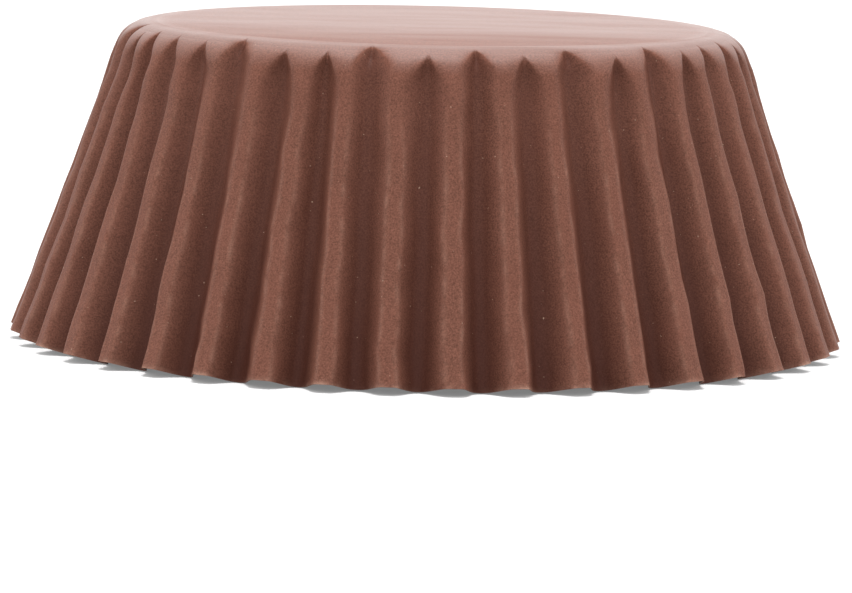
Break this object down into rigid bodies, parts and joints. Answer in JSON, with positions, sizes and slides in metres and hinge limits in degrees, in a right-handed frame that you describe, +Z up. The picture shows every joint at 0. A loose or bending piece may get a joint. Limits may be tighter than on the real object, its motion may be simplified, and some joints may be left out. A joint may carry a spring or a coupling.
{
  "type": "cupcake liner",
  "caption": "Pleated paper baking cup, upside down on its rim: flat round base, flared fluted wall and open mouth.",
  "frame": {"origin": "centre of the ring on which the lowest points of the rim stand, at the height of the table", "axes": "+Z up out of the base, along the cup's axis; -Y towards the viewer of the picture, with the middle of one valley on it"},
  "size_m": [0.0672, 0.0672, 0.0257],
  "materials": {
    "paper": "matte dyed greaseproof paper"
  },
  "bodies": {
    "root": {"liner": "paper"}
  },
  "joints": []
}
